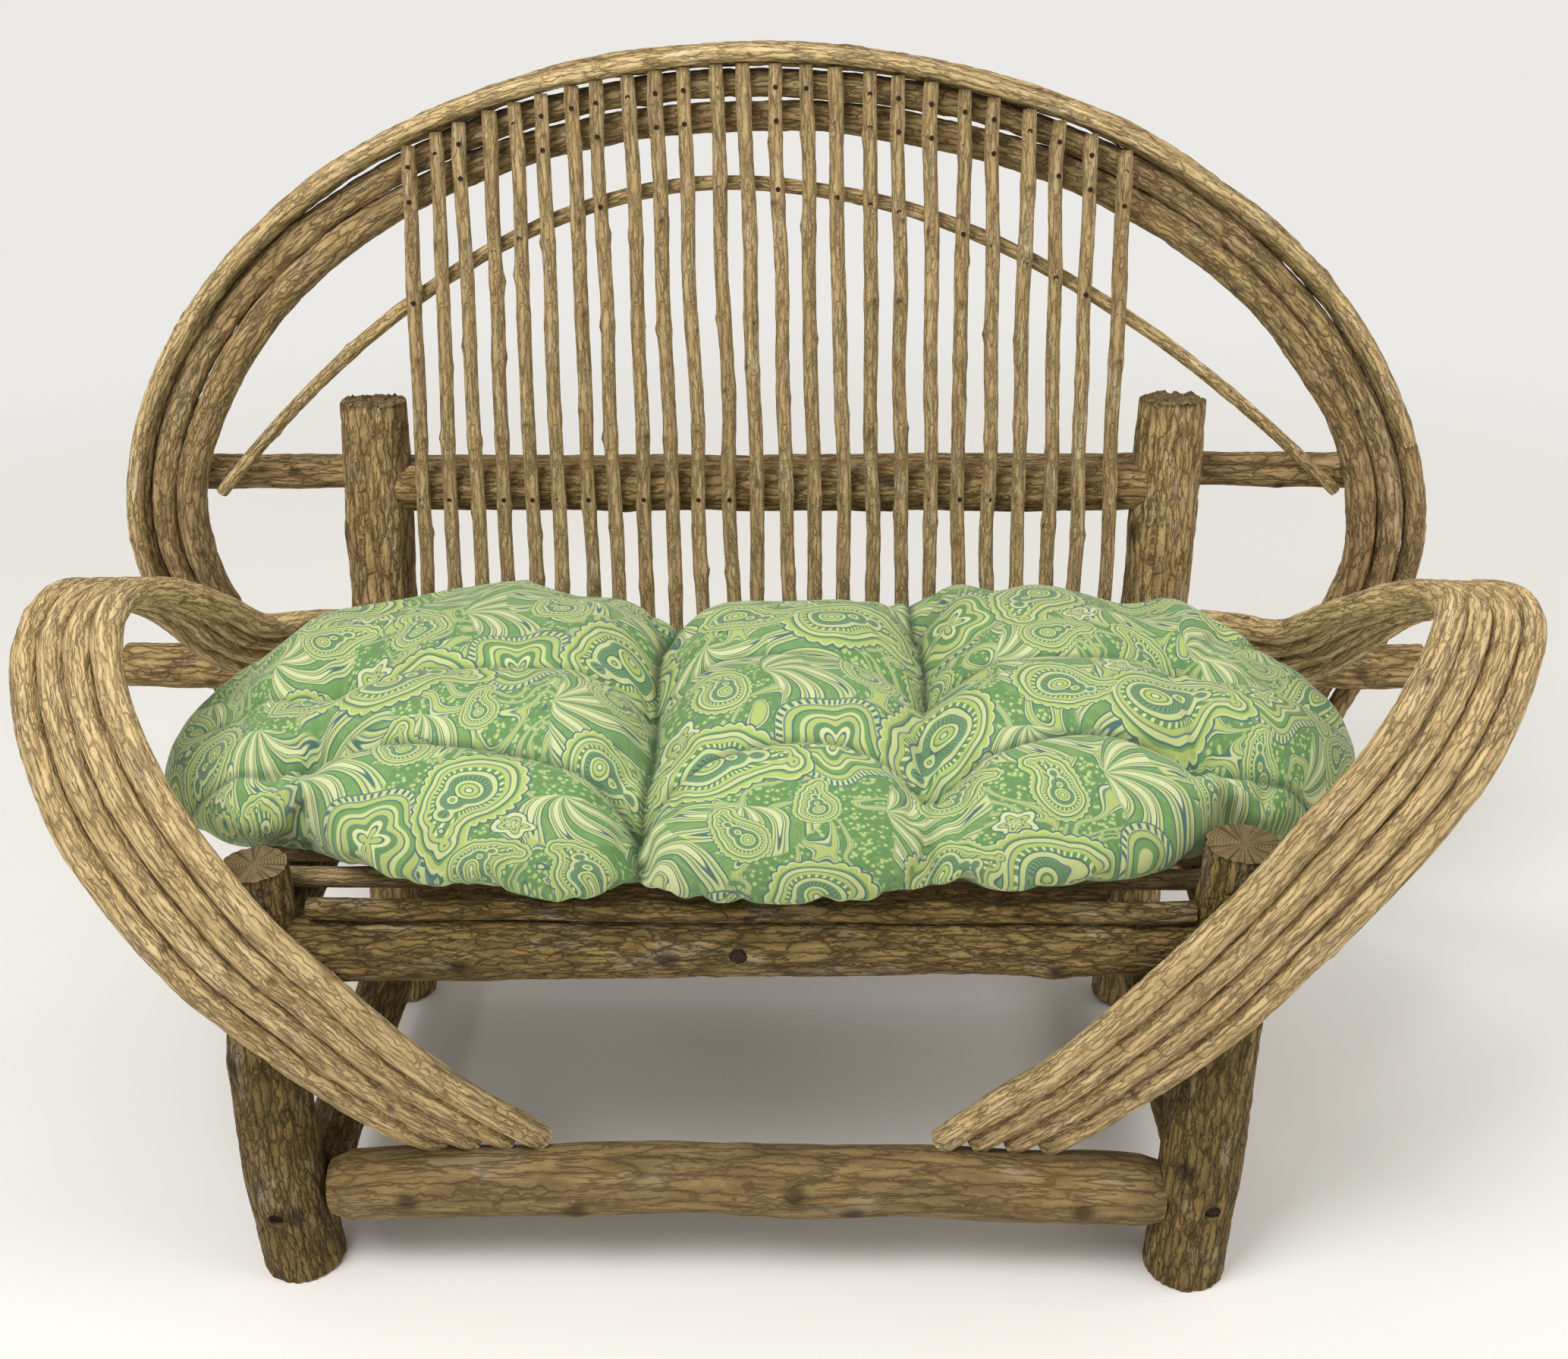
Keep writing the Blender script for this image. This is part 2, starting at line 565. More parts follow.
def hoop_point(inset, d, fall, turn):
    rise = CROWN_Z - HOOP_WAIST - inset * 1.25
    z = HOOP_WAIST + inset / 4 + (rise if math.cos(turn) > 0 else fall) * math.cos(turn)
    stops = [(CROWN_Z, slat_y(CROWN_Z) + SLAT_D / 2 / UPRIGHT + d / 2),
        (CROSSBAR_Z, crossbar_y - CROSSBAR_D / 2 - d / 2 - HOOP_GAP),
        (LOWER_RAIL_Z, lower_rail_y + LOWER_RAIL_D / 2 + d / 2 + HOOP_GAP),
        (HOOP_LOW_Z, post_y(HOOP_LOW_Z) + behind_post(d) + HOOP_GAP)]
    return (hoop_mid(z) + (HOOP_REACH - inset) * math.sin(turn), eased(z, stops), z)


hoop_relief = dict(crack=6, run=7, deep=1.0, chip=0.9, lump=0.12)
hoop_bark = bark("hoop_bark", paint(110, 88, 54), paint(174, 145, 98), paint(216, 190, 140),
    crack=6, run=7, deep=2.2, patch=0.3)
arm_bark = bark("arm_bark", paint(144, 115, 73), paint(208, 178, 125), paint(234, 210, 158),
    crack=5, run=10, deep=2.2, patch=0.25)
hoop_finish, rod_finish = (hoop_bark, stick_end), (arm_bark, stick_end)


def scattered(count, seed, high):
    """Knots spread along a stick, turned every way"""
    draw = np.random.default_rng(seed)
    return [((k + draw.uniform(0.2, 0.8)) / count, draw.uniform(0, 360), high * draw.uniform(0.6, 1.3))
        for k in range(count)]


def grimed(made, neighbours, reach):
    """The stick with its bark worn in and darkened where it meets its neighbours' middle lines"""
    points, marks = made[0], made[-1]
    line = np.concatenate([np.array(line, float)[::3] for line in neighbours])
    near = np.concatenate([np.linalg.norm(some[:, None] - line, axis=2).min(1)
        for some in np.array_split(points, len(points) // AT_ONCE + 1)])
    marks[:, 0] = np.maximum(marks[:, 0], 1.5 * np.clip((reach - near) / GRIME_EDGE, 0, 1))
    return made


AT_ONCE, GRIME_EDGE, HOOP_GRIME, BARK_THICK, HOOP_FOOT_IN = 500, 2.5, 18, 2.4, 25
hoop_lines = {}
for k, (name, d) in enumerate((("hoop_outer", OUTER_D), ("hoop_middle", MIDDLE_D), ("hoop_inner", INNER_D))):
    off_mid = (HOOP_LOW_Z - RACK_MID) * RACK - hoop_mid(HOOP_LOW_Z)
    ends = [math.pi - math.asin((LEG_X - HOOP_FOOT_IN + side * off_mid) / (HOOP_REACH - hoop_in[k]))
        for side in (-1, 1)]
    turns = np.linspace(-ends[0], ends[1], 900)
    hoop_lines[name, d, k] = [hoop_point(hoop_in[k], d, HOOP_FALL - 20 * k, turn) for turn in turns]
for (name, d, k), line in hoop_lines.items():
    thick = [d / 2 + BARK_THICK + more for more in (-1, 0, 0.6, -0.4, -0.6, 0, 0.4, 0, -1.5)]
    others = [other for (its_name, _, _), other in hoop_lines.items() if its_name != name]
    hoop = stick(line, thick, hoop_relief, 30 + k, scattered(14, k, 1.8), around=28, wander=2.6)
    piece(name, [grimed(hoop, others, HOOP_GRIME)], hoop_finish)

front_hoop_line = [hoop_point(-2, OUTER_D, HOOP_FALL, u) for u in np.radians(np.linspace(-95, 74, 300))]
front_hoop_line = [(x, y - (OUTER_D + FRONT_HOOP_D) / 2 - 0.3, z) for x, y, z in front_hoop_line]
front_hoop = stick(front_hoop_line, [9, 9.5, 9.2, 9, 8.6, 8.2, 8, 7.5, 7], stick_relief, 34,
    scattered(12, 7, 1.0), step=4, wander=1.5)
piece("hoop_front", [front_hoop], rod_finish)

ARCH_REACH = HOOP_REACH - hoop_in[2] - (INNER_D + ARCH_D) / 2 - 15.5
ARCH_SKEW, ARCH_CROWN, ARCH_FALL, ARCH_POWER, ARCH_FREE = 42, 938, 341, 1.95, 400


def arch_z(x):
    from_crown = x - HOOP_SHIFT + ARCH_SKEW
    reach = ARCH_REACH + math.copysign(ARCH_SKEW, from_crown)
    return ARCH_CROWN - ARCH_FALL * (abs(from_crown) / reach) ** ARCH_POWER


def arch_point(x):
    z = arch_z(x)
    on_slats = slat_y(z) + (SLAT_D + ARCH_D) / 2 / UPRIGHT
    share = min(1, max(0, (abs(x - HOOP_SHIFT) - ARCH_FREE) / (ARCH_REACH - ARCH_FREE)))
    on_bar = crossbar_y - (CROSSBAR_D + ARCH_D) / 2
    return (x, on_slats + (on_bar - on_slats) * (1 - math.cos(math.pi * share)) / 2, z)


arch_line = [arch_point(HOOP_SHIFT + ARCH_REACH * t) for t in np.linspace(-1, 1, 200)]
arch = stick(arch_line, [7, 7.6, 7.8, 7.6, 7.2, 6.8], stick_relief, 35, scattered(10, 9, 0.9),
    around=20, step=4, wander=1.2)
piece("inner_arch", [arch], rod_finish)

# Slats: 25 straight shoots with thin peeling bark, nailed in front of the seat rail, the back rail, the arch
# and the hoops. They stand wide apart at the seat and are drawn together at the top.
SLATS, SLAT_ENDS_IN, POST_TO_SLAT = 25, 1, 14
SLAT_FOOT_MID, SLAT_TOP_MID, SLAT_TOP_SPAN, SLAT_DRIFT, SLAT_STRAY = -4, 5, 724, 20, 2
SLAT_FOOT_SPAN = 2 * LEG_X - POST_D - SLAT_D - 2 * POST_TO_SLAT
slat_sticks = []
for i in range(SLATS):
    low, high = (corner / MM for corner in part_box("slat_%02d" % (i + 1)))
    share = i / (SLATS - 1)
    foot_x = SLAT_FOOT_MID + SLAT_FOOT_SPAN * (share - 0.5) + SLAT_STRAY * math.sin(math.radians(200 * i))
    top_x = (SLAT_TOP_MID + SLAT_TOP_SPAN * (share - 0.5) - SLAT_DRIFT * math.sin(math.pi * share)
        + SLAT_STRAY * math.sin(math.radians(140 * i)))
    foot_z, top_z = low[2] + SLAT_ENDS_IN, high[2] - SLAT_ENDS_IN
    thick = [8.1, 7.9, 7.6, 7.4, 7.2] if i % 3 else [7.5, 7.7, 7.6, 7.8, 7.6]
    slat_line = [(foot_x, slat_y(foot_z), foot_z), (top_x, slat_y(top_z), top_z)]
    slat_sticks.append(stick(slat_line, thick, stick_relief, 40 + i, scattered(7, 40 + i, 1.7), 16, wander=4))
piece("slats", slat_sticks, stick_finish, ["slat_%02d" % (i + 1) for i in range(SLATS)])

# Arms: on each side four green rods nailed side by side. They stand on the front stretcher, pass in front of
# the rail and the leg, turn out and over at the top, and come down to the outer side of the post.
# They pass through places [out, back, up] from the rail's top at the leg, and a row starts with its foot's
# place across. The two rods in the middle share out the space between the inner and the outer one.
ARM_D = 26
left_inner = [-223, [-155, -17, -186], [-102, -36, -114], [-52, -45, -44], [-5, -47, 17], [45, -33, 86],
    [88, -3, 144], [123, 44, 193], [145, 100, 226], [150, 150, 238], [145, 205, 226], [132, 275, 191],
    [117, 340, 146], [103, 397, 100], [76, 447, 79]]
left_outer = [-123, [-91, -12, -231], [-38, -38, -162], [12, -54, -93], [60, -63, -29], [110, -56, 44],
    [158, -24, 107], [197, 32, 163], [220, 92, 200], [228, 146, 218], [225, 208, 222], [212, 282, 188],
    [196, 355, 137], [167, 419, 55], [112, 455, 9]]
right_inner = [-250, [-188, -9, -194], [-141, -31, -134], [-70, -52, -34], [-9, -54, 47], [46, -42, 116],
    [101, -16, 174], [147, 34, 220], [184, 106, 249], [186, 162, 242], [177, 218, 217], [161, 277, 180],
    [143, 335, 140], [115, 396, 93], [84, 447, 75]]
right_outer = [-149, [-123, 3, -242], [-79, -21, -181], [-5, -51, -82], [57, -52, 2], [109, -45, 67],
    [161, -20, 121], [211, 26, 170], [257, 104, 219], [266, 158, 233], [257, 222, 216], [242, 284, 180],
    [222, 350, 131], [179, 418, 47], [121, 455, 4]]
INNER_END, OUTER_END, ARM_FOOT_Y, ARM_GRIME = 58, -23, 18, 3.5


def smooth_line(places, steps=16):
    """A smooth curve through places"""
    p = np.array([places[0]] + list(places) + [places[-1]], float)
    line = []
    for a, b, c, d in zip(p, p[1:], p[2:], p[3:]):
        for s in np.arange(steps) / steps:
            line.append((2 * b + (c - a) * s + (2 * a - 5 * b + 4 * c - d) * s ** 2
                + (3 * b - a - 3 * c + d) * s ** 3) / 2)
    return line + [p[-1]]


def arm_line(side, k):
    inner, outer = (left_inner, left_outer) if side < 0 else (right_inner, right_outer)
    part = (k - 1) / 3
    x = side * (LEG_X + inner[0] + (outer[0] - inner[0]) * part)
    foot = (x, LEG_Y + ARM_FOOT_Y, stretcher_z(x) + STRETCHER_D / 2 + 2)
    first, last = np.array(inner[1:], float), np.array(outer[1:], float)
    places = first + (last - first) * part
    end_z = RAIL_TOP + INNER_END + (OUTER_END - INNER_END) * part
    end = (side_x(side, end_z) + side * (POST_D + ARM_D) / 2, post_y(end_z) - 8, end_z)
    over = [(side * (LEG_X + out), LEG_Y + back, RAIL_TOP + up) for out, back, up in places]
    return smooth_line([foot] + over + [end])


arm_relief = dict(crack=5.5, run=10, deep=0.9, chip=0.5, lump=0.05)
for side, word in ((-1, "left"), (1, "right")):
    for k in (1, 2, 3, 4):
        name = "arm_%s_%d" % (word, k)
        thick = [13.6, 14.2, 13.9, 13.5, 13.1] if k == 1 else [12.7, 13.5, 13.7, 13.5, 12.9]
        beside = [arm_line(side, other) for other in (k - 1, k + 1) if 1 <= other <= 4]
        rod = stick(arm_line(side, k), thick, arm_relief, 70 + 10 * side + k,
            scattered(6, 20 * side + k + 60, 1.5), around=32, step=4.5)
        piece(name, [grimed(rod, beside, ARM_D / 2 + ARM_GRIME)], rod_finish)

# Cushion: one loose pad, tufted through and creased across, of cotton printed with a traditional pattern of
# curled drops and sprays. It is stuffed so that it swells between the tufts, and it lies flat on the sticks.
CREASES = (-95, 160)
CUSHION_FRONT, SEAT_Z = LEG_Y - 14, RAIL_TOP + SEAT_STICK_D
TUFTS = [(-398, 105), (-95, 35), (160, 60), (405, 105), (-398, 215), (-100, 210), (160, 215), (405, 262)]
SKIN_FINE, SWELL, SWELL_FRAMES = 0.0065, 11, 20

cushion = placed("cushion_pad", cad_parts["cushion"].data.copy())
cushion.data.materials.clear()
remesh = cushion.modifiers.new("skin", "REMESH")
remesh.mode, remesh.voxel_size = "VOXEL", SKIN_FINE
relax = cushion.modifiers.new("relax", "SMOOTH")
relax.factor, relax.iterations = 0.5, 12
settle(cushion)


def move_corners(made, places):
    made.data.vertices.foreach_set("co", places.ravel())
    made.data.update()


rest = corners_of(cushion)
# The cover is held at the tufts and, less firmly, along the creases and underneath
sewn = cushion.vertex_groups.new(name="sewn")
x, back, z = (rest / MM - [0, CUSHION_FRONT, SEAT_Z]).T
held = [(np.hypot(x - tx, back - ty) < 11, 1.0) for tx, ty in TUFTS]
held += [((np.abs(x - crease) < 5) & (z > 40), 0.6) for crease in CREASES] + [(z < 3, 0.9)]
for near, weight in held:
    sewn.add(np.flatnonzero(near).tolist(), weight, "ADD")
cloth = cushion.modifiers.new("cloth", "CLOTH")
cover = dict(quality=5, mass=0.3, tension_stiffness=12, compression_stiffness=12, bending_stiffness=0.3,
    use_pressure=True, uniform_pressure_force=4, shrink_min=-0.05, vertex_group_mass="sewn")
for name, value in cover.items():
    setattr(cloth.settings, name, value)
cloth.settings.effector_weights.gravity = 0
cloth.point_cache.frame_start, cloth.point_cache.frame_end = 1, SWELL_FRAMES
for step in range(1, SWELL_FRAMES + 1):
    bpy.context.scene.frame_set(step)
settle(cushion)
bpy.context.scene.frame_set(1)
moved = corners_of(cushion) - rest
far = np.linalg.norm(moved, axis=1) / MM
moved *= np.minimum(1, SWELL / np.maximum(far, 0.001))[:, None]
move_corners(cushion, rest + moved)

finer = cushion.modifiers.new("finer", "SUBSURF")
finer.levels = finer.render_levels = 1
settle(cushion)
place = corners_of(cushion) / MM
x, back, z = place[:, 0], place[:, 1] - CUSHION_FRONT, place[:, 2]


def line_dip(distance, width, depth):
    return depth * np.exp(-(distance / width) ** 2)


def climb(length, over):
    """0 up to a length of 0, then up to 1 over so many mm"""
    return np.clip(length / over, 0, 1)


upper = climb(z - SEAT_Z - 30, 30)
dip, shade = np.zeros(len(x)), np.zeros(len(x))
for crease, fades in zip(CREASES, (0, 0.75)):
    wave = 5 * np.sin(back / 55 + crease)
    full = 1 - fades * climb(230 - back, 80)
    dip += full * 25 * np.exp(-np.abs(x - crease - wave) / 15) * (1 - 0.6 * climb(back - 380, 80))
    shade = np.maximum(shade, full * line_dip(x - crease - wave, 4, 1))
# The folds from tuft to tuft: [from and to along x, from and to behind the front, depth, arch to the back]
FOLDS = [(-530, -398, 92, 105, 0.8, 0), (-398, -95, 105, 35, 1, 6), (-95, 160, 35, 60, 0.8, 28),
    (160, 405, 60, 105, 1.2, 16), (405, 540, 105, 75, 1, 0),
    (-530, -398, 200, 215, 0.5, 0), (-398, -100, 215, 210, 0.7, -8), (-100, 160, 210, 215, 0.6, 14),
    (160, 405, 215, 262, 0.8, -6), (405, 540, 262, 200, 0.8, 0)]
FOLD_DEEP, FOLD_WIDE = 24, 19
for x0, x1, y0, y1, deep, arch in FOLDS:
    share = np.clip((x - x0) / (x1 - x0), 0, 1)
    inside = climb(x - x0 + 12, 20) * climb(x1 + 12 - x, 20)
    sag = y0 + (y1 - y0) * share + arch * np.sin(math.pi * share)
    middle_less = 0.75 + 0.25 * np.abs(2 * share - 1)
    dip += deep * inside * FOLD_DEEP * np.exp(-np.abs(back - sag) / FOLD_WIDE) * middle_less
    shade = np.maximum(shade, min(1, deep * 0.8) * inside * line_dip(back - sag, 4, 1))
for tx, ty in TUFTS:
    reach = np.hypot(x - tx, back - ty)
    turn = np.arctan2(back - ty, x - tx)
    dip += line_dip(reach, 10, 9)
    dip += line_dip(reach, 50, 2.6) * np.sin(7 * turn + tx) * climb(reach, 12)
    shade = np.maximum(shade, line_dip(reach, 7, 1))
# The front face is drawn in at the pinches, and swells forward and down over the edge stick between them
pinch = np.zeros(len(x))
for at, deep in ((-398, 1), (-95, 1), (160, 0.4), (428, 1)):
    off = x - at - 3 * np.sin(z / 12)
    pinch += deep * (line_dip(off, 4.5, 11) + line_dip(x - at, 22, 10))
    shade = np.maximum(shade, deep * line_dip(off, 4, 1) * climb(60 - back, 50))
fine = uneven(place, (70, 45, 60), 90) * 2.5 + uneven(place, (28, 22, 30), 91) * 1.0
forward = climb(70 - back, 70) * np.exp(-((z - SEAT_Z - 30) / 55) ** 2)
within = climb(430 - np.abs(x), 60)
place[:, 0] *= 1 + 0.022 * climb(np.abs(x) - 300, 200)
low_down = np.exp(-((z - SEAT_Z) / 30) ** 2)
bulge = 20 + line_dip(x + 325, 75, 20) + line_dip(x - 340, 70, 12)
place[:, 1] += (pinch * 0.9 * (1 - 0.75 * low_down) - bulge * within) * forward
# The middle third is lower at its back than the other two, and so is the left end
toward_back = climb(back - 290, 170) ** 1.3
low_back = (22 * climb(x + 250, 60) * climb(150 - x, 50)
    + 16 * climb(-455 - x, 40) + line_dip(x - 244, 26, 12) + line_dip(x - 15, 60, 8)
    - line_dip(x + 372, 50, 8) - line_dip(x - 427, 30, 24))
place[:, 1] -= toward_back * np.maximum(low_back, 0)
z = z - upper * dip + upper * fine - toward_back * low_back * climb(z - SEAT_Z, 100)
z -= 18 * climb(-465 - x, 45) * climb(z - SEAT_Z, 100)
z = np.maximum(z, SEAT_Z + 0.6)
# Its front hangs down over the edge stick
before_stick = climb(CUSHION_FRONT - 2 - place[:, 1], 20)
hang = 24 + 15 * climb(-110 - x, 80) + 6 * climb(x - 120, 60) + line_dip(x + 350, 60, 24)
place[:, 2] = z - hang * before_stick * low_down * within
move_corners(cushion, place * MM)

# The print's own place on the cloth runs down over the front, the back and the ends of the pad
PAD_HIGH = 130
drop = np.maximum(0, SEAT_Z + PAD_HIGH - place[:, 2])
toward_end = climb(np.abs(place[:, 0]) - 430, 110) ** 1.5
toward_front = climb(60 - back, 60) ** 1.5
toward_rear = climb(back - 410, 60) ** 1.5
print_u = place[:, 0] + np.sign(place[:, 0]) * toward_end * drop
print_v = place[:, 1] - toward_front * drop + toward_rear * drop
field = cushion.data.attributes.new("cloth", "FLOAT_VECTOR", "POINT")
field.data.foreach_set("vector", np.stack([print_u, print_v, shade], 1).astype(np.float32).ravel())
cushion.data.polygons.foreach_set("use_smooth", np.ones(len(cushion.data.polygons), bool))

printed, cotton, cotton_shader = finish_of("paisley_cotton", 0.8)
cloth_field = mesh_field(cotton, "cloth")
cloth_place, in_fold = cotton.vector("MULTIPLY", cloth_field, (1, 1, 0)), cloth_field.axis(2)
printed_green, deep_green = paint(112, 150, 90), paint(100, 138, 84)
pale_lime, lime, cream = paint(190, 200, 136), paint(170, 186, 108), paint(202, 208, 156)
teal, blue_grey = paint(80, 110, 106), paint(104, 128, 122)
REPEAT = (330, 270)


def wrapped(at, turn, unit, flip=1):
    """Place on the print from the middle of a motif, turned, in the motif's own unit"""
    c, s = math.cos(math.radians(turn)), math.sin(math.radians(turn))
    half = (REPEAT[0] / 2, REPEAT[1] / 2, 1)
    near = cotton.vector("WRAP", cotton.vector("SUBTRACT", skewed, (*at, 0)), half, [-h for h in half])
    sides = [cotton.vector("DOT_PRODUCT", near, way, out="Value")
        for way in ((flip * c / unit, flip * s / unit, 0), (-s / unit, c / unit, 0))]
    return cotton.node("CombineXYZ", {}, dict(enumerate(sides)))


PRINT_TURN = math.radians(24)
shifted = cotton.vector("MULTIPLY_ADD", cloth_place.noise(0.011, 1.0, out=1), (34, 34, 0), cloth_place)
skewed = cotton.node("VectorRotate", {"rotation_type": "Z_AXIS"}, {"Vector": shifted, "Angle": PRINT_TURN})

# A curled drop is the union of circles that shrink along its curling tail
DROP = [(0, 0, 1.0), (0.10, 0.62, 0.78), (0.36, 1.18, 0.55), (0.78, 1.60, 0.33), (1.22, 1.74, 0.16)]


def drop_reach(own):
    reach = None
    for cx, cy, r in DROP:
        circle = cotton.vector("DISTANCE", own, (cx, cy, 0), out="Value") - r
        reach = circle if reach is None else cotton.math("SMOOTH_MIN", reach, circle, 0.18)
    return reach


def angle_of(own, cx=0.15, cy=0.35):
    return cotton.math("ARCTAN2", own.axis(1) - cy, own.axis(0) - cx)


# The ground: two greens, pale seeds, and scrolls of thin lines between the motifs
dots = cotton.node("TexVoronoi", {"feature": "F1"}, {"Vector": cloth_place, "Scale": 0.19})
scroll = cloth_place.noise(0.013, 0.5, Distortion=0.8)
lines, drawn = (scroll * 64.0).wave(), scroll.between(0.44, 0.47)
dyed = dots.between(0.45, 0.6).over(printed_green, deep_green)
dyed = ((1 - dots.between(0.3, 0.38)) * 0.8).over(dyed, pale_lime)
for low, high, colour in ((-0.1, 0.0, teal), (0.2, 0.3, pale_lime), (0.55, 0.65, blue_grey),
        (0.75, 0.85, lime)):
    dyed = (drawn * lines.between(low, high)).over(dyed, colour)

# Sprays: leaves that fan out along curved lines from one place
for at, turn, unit, flip, leaves in (((60, 200), 40, 82, 1, 11), ((240, 70), 200, 76, -1, 10),
        ((130, 20), -70, 62, 1, 9), ((310, 240), 120, 58, -1, 9)):
    own = wrapped(at, turn, unit, flip)
    reach = own.length()
    swirl = angle_of(own, 0, 0)
    blade = ((swirl + reach * 0.9) * leaves).wave() - reach.between(0.3, 1.3) * 0.6
    inside = (1 - reach.between(1.12, 1.16)) * swirl.between(-1.5, -1.4) * (1 - swirl.between(1.4, 1.5))
    dyed = (inside * 0.85).over(dyed, printed_green)
    for low, high, colour in ((-0.95, -0.85, teal), (-0.7, -0.6, pale_lime), (-0.35, -0.25, lime),
            (-0.05, 0.03, blue_grey), (0.15, 0.25, pale_lime), (0.45, 0.5, teal), (0.6, 0.66, cream)):
        dyed = (inside * blade.between(low, high)).over(dyed, colour)

# The medallion: a round of five lobes with a ticked border
own = wrapped((165, 130), 10, 46)
around_it = angle_of(own, 0, 0)
lobe = own.length() - cotton.math("COSINE", around_it * 5.0) * 0.12
for edge, colour in ((1.3, teal), (1.26, pale_lime), (1.1, blue_grey), (1.06, lime), (0.94, teal),
        (0.9, printed_green), (0.78, pale_lime), (0.68, teal), (0.64, lime), (0.5, blue_grey),
        (0.46, deep_green), (0.34, cream), (0.22, teal), (0.16, lime)):
    dyed = (1 - lobe.between(edge - 0.015, edge + 0.015)).over(dyed, colour)
border = lobe.between(1.11, 1.12) * (1 - lobe.between(1.25, 1.26))
tick = (around_it * 60.0).wave().between(0.0, 0.3)
dyed = (border * tick).over(dyed, teal)

# Rosettes: five round petals round a dark eye
for at, unit in (((20, 95), 15), ((285, 185), 13)):
    own = wrapped(at, 10, unit)
    petal = own.length() - cotton.math("COSINE", angle_of(own, 0, 0) * 5.0) * 0.22
    for edge, colour in ((1.25, teal), (1.12, cream), (0.78, blue_grey), (0.66, lime), (0.34, teal),
            (0.2, cream)):
        dyed = (1 - petal.between(edge - 0.04, edge + 0.04)).over(dyed, colour)

# The drops themselves, from the outer scallops in to the core
nearest = None
for at, turn, unit, flip in (((70, 60), -35, 36, 1), ((235, 215), 150, 34, -1), ((150, 245), 80, 19, 1),
        ((310, 30), -100, 25, -1), ((40, 150), 20, 21, -1), ((275, 125), -10, 20, 1), ((185, 40), 60, 15, 1)):
    own = wrapped(at, turn, unit, flip)
    reach = drop_reach(own)
    if nearest is None:
        nearest, core = reach, own
    else:
        closer = cotton.math("LESS_THAN", reach, nearest)
        core = cotton.node("Mix", {"data_type": "VECTOR"}, {0: closer, 4: core, 5: own}, out=1)
        nearest = cotton.math("MINIMUM", reach, nearest)
turned = angle_of(core)
scallop = nearest - (turned * 13.0).wave().depth() * 0.09
BANDS = [(0.0, cream), (0.07, teal), (0.1, lime), (0.2, deep_green), (0.24, pale_lime), (0.31, teal),
    (0.34, printed_green), (0.46, blue_grey), (0.49, pale_lime), (0.58, teal), (0.61, deep_green),
    (0.7, lime), (0.78, blue_grey), (0.81, pale_lime), (0.9, teal), (0.93, printed_green)]
banded = cotton.node("ValToRGB", {"hard": True, "stops": BANDS}, {0: nearest * 0.8 + 0.8})
for field_edge, low, high, colour in ((scallop, 0.36, 0.39, teal), (scallop, 0.31, 0.33, pale_lime),
        (scallop, 0.25, 0.27, lime), (nearest, 0.20, 0.23, banded)):
    dyed = (1 - field_edge.between(low, high)).over(dyed, colour)
for count, low, high, edges, colour in ((34.0, 0.2, 0.5, (-0.24, -0.22, -0.14, -0.12), cream),
        (46.0, 0.1, 0.4, (-0.57, -0.55, -0.45, -0.43), teal)):
    band = nearest.between(*edges[:2]) * (1 - nearest.between(*edges[2:]))
    beads = (turned * count).wave().between(low, high)
    dyed = (band * beads).over(dyed, colour)

weave_place = cotton.node("TexCoord", {}, {}, out="Object")
threads, crumple = weave_place.noise(1400.0, 2.0), weave_place.noise(22.0, 3.0)
dyed = (threads.between(0.4, 0.75) * 0.12).over(dyed, paint(60, 84, 60))
dyed = (in_fold * 0.8).over(dyed, paint(40, 62, 40))
dyed.feed(cotton_shader, "Base Color")
(crumple + threads * 0.12).bump(0.5, 1.5 * MM).feed(cotton_shader, "Normal")
cotton_shader.inputs["Sheen Weight"].default_value = 0.15
cushion.data.materials.append(printed)
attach(cushion, "cushion")
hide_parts("cushion")

# The studio: a plain pale floor that runs back to a pale background, two soft lamps and the camera, which
# stands above the seat's height and looks down on it.
FLOOR_HALF, WORLD_LIGHT, BACKGROUND = 16, 0.68, paint(236, 234, 230)
floor_mesh = bpy.data.meshes.new("floor")
floor_corners = [(x * FLOOR_HALF, y * FLOOR_HALF, 0) for x, y in ((-1, -1), (1, -1), (1, 1), (-1, 1))]
floor_mesh.from_pydata(floor_corners, [], [(0, 1, 2, 3)])
floor = placed("floor", floor_mesh)
floor_finish, floor_start, floor_shader = finish_of("pale_floor", 0.9)
floor_shader.inputs["Base Color"].default_value = paint(238, 236, 232)
# Far from the object the floor fades into the background's own pale colour
floor_place = floor_start.node("TexCoord", {}, {}, out="Object")
far_off = floor_place.length()


def seen_rays(start):
    """1 for the rays in which the background is seen, straight or in metal or glass"""
    straight, glossy, through = [start.node("LightPath", {}, {}, out="Is %s Ray" % ray)
        for ray in ("Camera", "Glossy", "Transmission")]
    return start.math("MAXIMUM", straight, start.math("MAXIMUM", glossy, through))


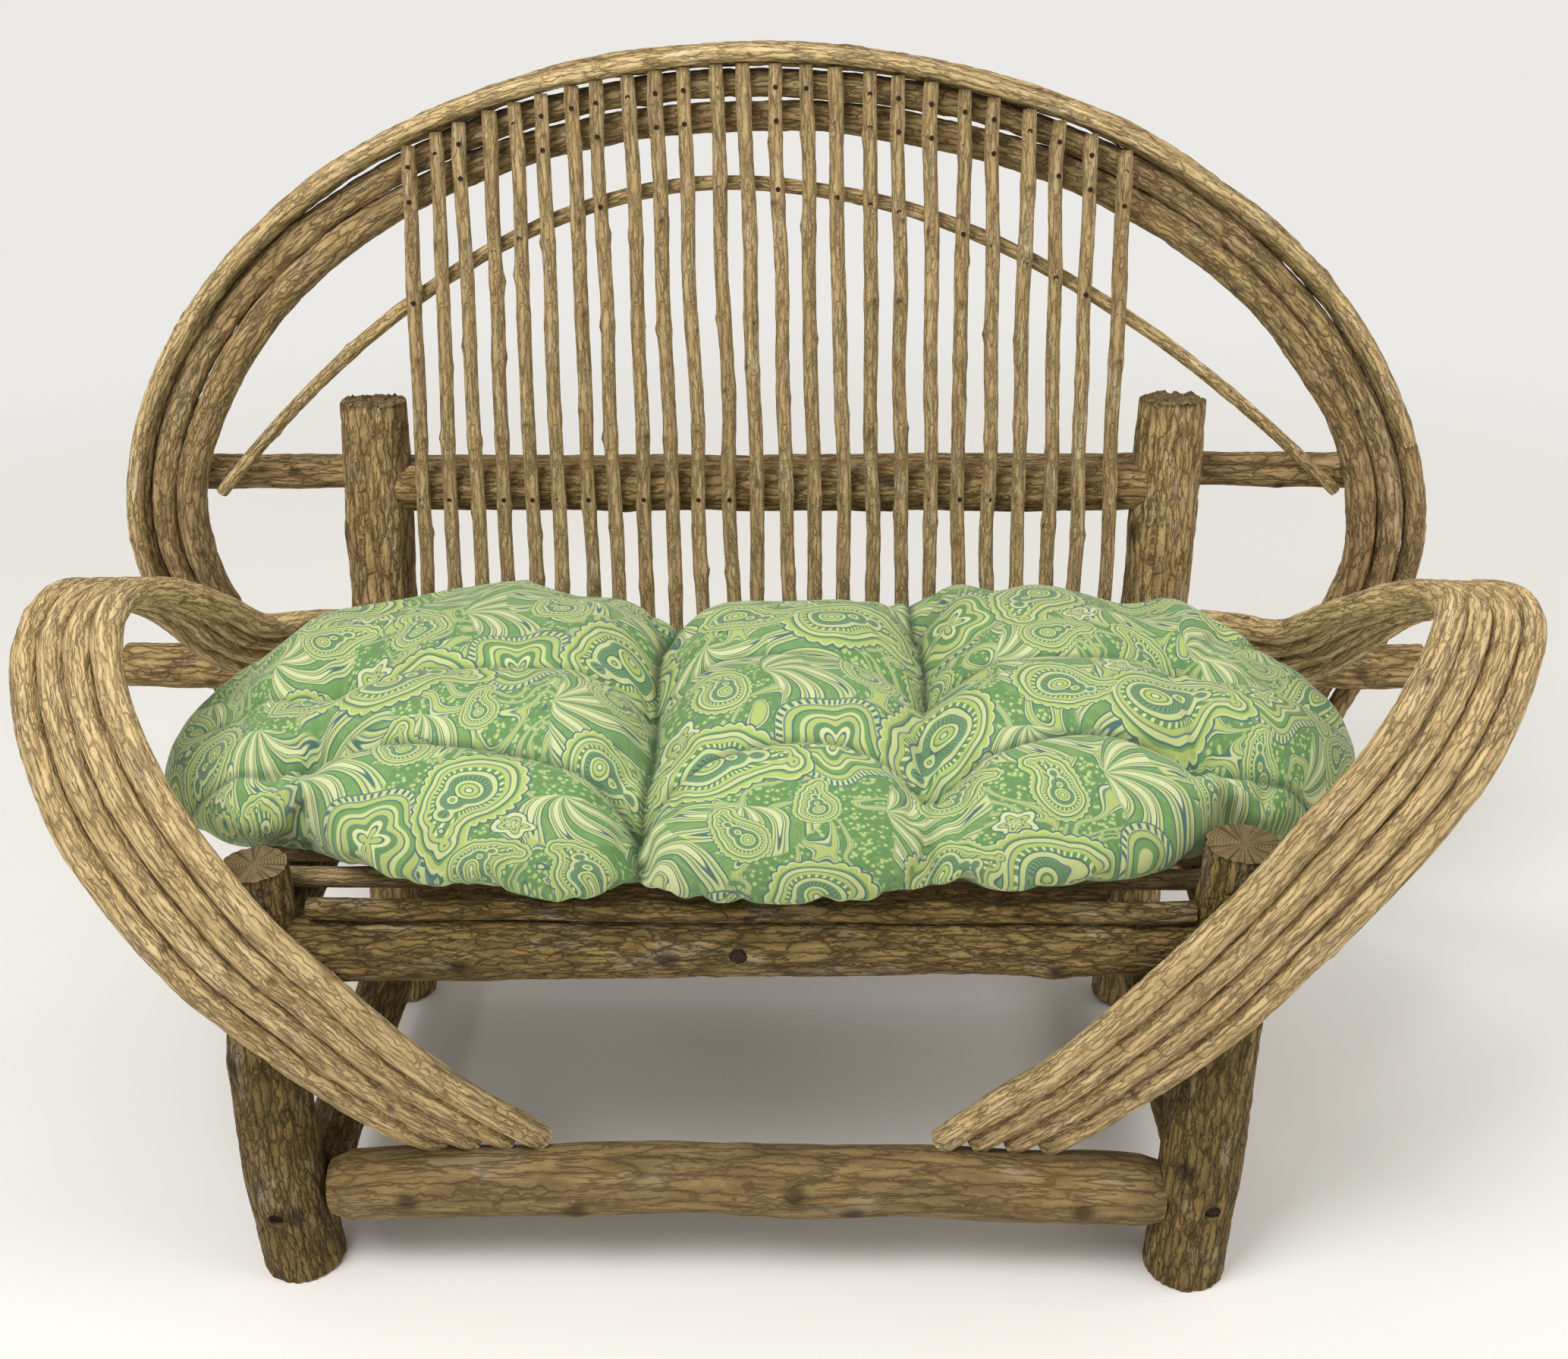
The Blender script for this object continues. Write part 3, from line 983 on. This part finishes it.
pale = floor_start.node("Emission", {}, {"Color": BACKGROUND, "Strength": 1.0})
floor_look = floor_start.node("MixShader", {}, {
    0: far_off.between(1.3, 3.2) * seen_rays(floor_start),
    1: Finish(floor_start.tree, floor_shader.outputs[0]), 2: pale})
floor_look.feed(floor_start.tree.nodes["Material Output"], "Surface")
floor_mesh.materials.append(floor_finish)

world = bpy.data.worlds.new("studio")
bpy.context.scene.world = world
world.use_nodes = True
background = world.node_tree.nodes["Background"]
background.inputs["Color"].default_value = BACKGROUND
(seen_rays(Finish(world.node_tree)) * (1 - WORLD_LIGHT) + WORLD_LIGHT).feed(background, "Strength")
MID_SEAT = Vector((0, 0, 0.5))
for name, at, size, power in (("lamp_left", (-1.4, -1.6, 3.4), 1.6, 92),
        ("lamp_right", (2.4, -0.6, 3.0), 2.0, 40)):
    lamp = bpy.data.lights.new(name, "AREA")
    lamp.size, lamp.energy = size, power
    stand = placed(name, lamp)
    stand.location = at
    stand.rotation_euler = (MID_SEAT - Vector(at)).to_track_quat("-Z", "Y").to_euler()

PHOTO_WIDTH, FOCAL_PIXELS, SENSOR = 2067, 2465.1, 36
CAMERA_RIGHT, CAMERA_BACK, CAMERA_HIGH = 0.075, 1389, 1.357
pitch, yaw, roll = (math.radians(a) for a in (27.107, -1.703, 0.704))
ahead = Vector((math.sin(yaw) * math.cos(pitch), math.cos(yaw) * math.cos(pitch), -math.sin(pitch)))
level = Vector((math.cos(yaw), -math.sin(yaw), 0))
down = ahead.cross(level)
right = level * math.cos(roll) + down * math.sin(roll)
below = down * math.cos(roll) - level * math.sin(roll)
lens = bpy.data.cameras.new("camera")
lens.sensor_width = SENSOR
lens.lens = FOCAL_PIXELS / PHOTO_WIDTH * SENSOR
camera = placed("camera", lens)
camera.matrix_world = (Matrix.Translation((CAMERA_RIGHT, (LEG_Y - CAMERA_BACK) * MM, CAMERA_HIGH))
    @ Matrix((right, -below, -ahead)).transposed().to_4x4())
bpy.context.scene.camera = camera
bpy.context.scene.view_settings.view_transform = "Standard"
